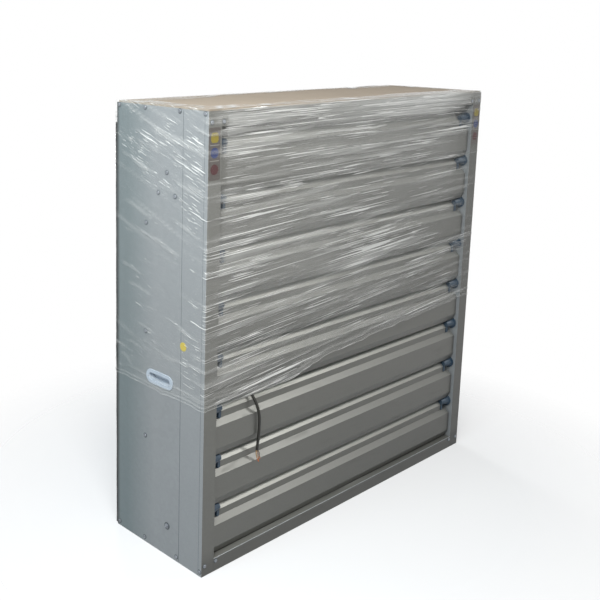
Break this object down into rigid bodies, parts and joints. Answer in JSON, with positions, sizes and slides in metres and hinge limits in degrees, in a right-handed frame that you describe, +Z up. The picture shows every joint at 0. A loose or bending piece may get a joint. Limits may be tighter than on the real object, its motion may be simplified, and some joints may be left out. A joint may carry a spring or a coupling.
{
  "type": "box exhaust fan",
  "caption": "Square belt-driven axial exhaust fan in a sheet-metal box, with a gravity louvre shutter on the outlet and a wire guard on the inlet.",
  "frame": {"origin": "centre of the footprint, at the level the casing stands on", "axes": "+Z up; +X to the right seen from the shutter; -Y is the way the air leaves, through the shutter"},
  "size_m": [1.3856, 0.4028, 1.3853],
  "materials": {
    "galvanised_casing": "galvanised sheet, dull spangle",
    "shutter_sheet": "galvanised sheet, plain",
    "blue_plastic": "moulded, satin",
    "pale_plastic": "moulded, satin",
    "guard_wire": "zinc-plated wire",
    "blade_steel": "stainless sheet",
    "cast_metal": "cast, as made",
    "bright_steel": "ground steel",
    "motor_paint": "painted casting",
    "belt_rubber": "rubber, dull",
    "cable_black": "cable sheath",
    "box_plastic": "moulded, matt",
    "card": "corrugated card"
  },
  "bodies": {
    "casing": {"casing_side_left": "galvanised_casing", "casing_side_right": "galvanised_casing", "casing_top": "galvanised_casing", "casing_bottom": "galvanised_casing", "frame_stile_left": "shutter_sheet", "frame_stile_right": "shutter_sheet", "frame_rail_top": "shutter_sheet", "frame_rail_bottom": "shutter_sheet", "orifice_plate": "galvanised_casing", "inlet_guard": "guard_wire", "hand_cup_left": "pale_plastic", "hand_cup_right": "pale_plastic", "drive_column": "galvanised_casing", "bearing_housing": "cast_metal", "bearing_front": "bright_steel", "bearing_rear": "bright_steel", "motor_body": "motor_paint", "motor_bracket": "galvanised_casing", "drive_belt": "belt_rubber", "junction_box": "box_plastic", "motor_lead": "cable_black", "supply_lead": "cable_black", "top_card": "card"},
    "rotor": {"fan_shaft": "bright_steel", "fan_pulley": "cast_metal", "blade_hub": "cast_metal", "blade_1": "blade_steel", "blade_2": "blade_steel", "blade_3": "blade_steel", "blade_4": "blade_steel", "blade_5": "blade_steel", "blade_6": "blade_steel"},
    "motor_rotor": {"motor_shaft": "bright_steel", "motor_pulley": "cast_metal"},
    "tie_bar": {"tie_bar": "galvanised_casing"},
    "louvre_1": {"louvre_1": "shutter_sheet", "pivot_left_1": "blue_plastic", "pivot_right_1": "blue_plastic"},
    "louvre_2": {"louvre_2": "shutter_sheet", "pivot_left_2": "blue_plastic", "pivot_right_2": "blue_plastic"},
    "louvre_3": {"louvre_3": "shutter_sheet", "pivot_left_3": "blue_plastic", "pivot_right_3": "blue_plastic"},
    "louvre_4": {"louvre_4": "shutter_sheet", "pivot_left_4": "blue_plastic", "pivot_right_4": "blue_plastic"},
    "louvre_5": {"louvre_5": "shutter_sheet", "pivot_left_5": "blue_plastic", "pivot_right_5": "blue_plastic"},
    "louvre_6": {"louvre_6": "shutter_sheet", "pivot_left_6": "blue_plastic", "pivot_right_6": "blue_plastic", "cord_tail": "cable_black"},
    "louvre_7": {"louvre_7": "shutter_sheet", "pivot_left_7": "blue_plastic", "pivot_right_7": "blue_plastic"},
    "louvre_8": {"louvre_8": "shutter_sheet", "pivot_left_8": "blue_plastic", "pivot_right_8": "blue_plastic"}
  },
  "joints": [
    {"name": "louvre_1_swing", "type": "hinge", "parent": "casing", "child": "louvre_1", "pos_m": [0, -0.172, 1.2881], "axis": [-1, 0, 0], "range_deg": [0, 80]},
    {"name": "louvre_2_swing", "type": "hinge", "parent": "casing", "child": "louvre_2", "pos_m": [0, -0.172, 1.1308], "axis": [-1, 0, 0], "range_deg": [0, 80]},
    {"name": "louvre_3_swing", "type": "hinge", "parent": "casing", "child": "louvre_3", "pos_m": [0, -0.172, 0.9735], "axis": [-1, 0, 0], "range_deg": [0, 80]},
    {"name": "louvre_4_swing", "type": "hinge", "parent": "casing", "child": "louvre_4", "pos_m": [0, -0.172, 0.8162], "axis": [-1, 0, 0], "range_deg": [0, 80]},
    {"name": "louvre_5_swing", "type": "hinge", "parent": "casing", "child": "louvre_5", "pos_m": [0, -0.172, 0.6589], "axis": [-1, 0, 0], "range_deg": [0, 80]},
    {"name": "louvre_6_swing", "type": "hinge", "parent": "casing", "child": "louvre_6", "pos_m": [0, -0.172, 0.5016], "axis": [-1, 0, 0], "range_deg": [0, 80]},
    {"name": "louvre_7_swing", "type": "hinge", "parent": "casing", "child": "louvre_7", "pos_m": [0, -0.172, 0.3443], "axis": [-1, 0, 0], "range_deg": [0, 80]},
    {"name": "louvre_8_swing", "type": "hinge", "parent": "casing", "child": "louvre_8", "pos_m": [0, -0.172, 0.187], "axis": [-1, 0, 0], "range_deg": [0, 80]},
    {"name": "tie_bar_pin", "type": "hinge", "parent": "louvre_1", "child": "tie_bar", "pos_m": [0.304, -0.126, 1.3181], "axis": [-1, 0, 0], "range_deg": [-80, 0]},
    {"name": "fan_spin", "type": "hinge", "parent": "casing", "child": "rotor", "pos_m": [0, 0, 0.69], "axis": [0, 1, 0], "continuous": true},
    {"name": "motor_spin", "type": "hinge", "parent": "casing", "child": "motor_rotor", "pos_m": [-0.185, 0, 1.197], "axis": [0, 1, 0], "continuous": true}
  ],
  "couplings": [
    {"joint": "louvre_2_swing", "follows": "louvre_1_swing", "ratio": 1},
    {"joint": "louvre_3_swing", "follows": "louvre_1_swing", "ratio": 1},
    {"joint": "louvre_4_swing", "follows": "louvre_1_swing", "ratio": 1},
    {"joint": "louvre_5_swing", "follows": "louvre_1_swing", "ratio": 1},
    {"joint": "louvre_6_swing", "follows": "louvre_1_swing", "ratio": 1},
    {"joint": "louvre_7_swing", "follows": "louvre_1_swing", "ratio": 1},
    {"joint": "louvre_8_swing", "follows": "louvre_1_swing", "ratio": 1},
    {"joint": "tie_bar_pin", "follows": "louvre_1_swing", "ratio": -1},
    {"joint": "motor_spin", "follows": "fan_spin", "ratio": 3.3274}
  ]
}
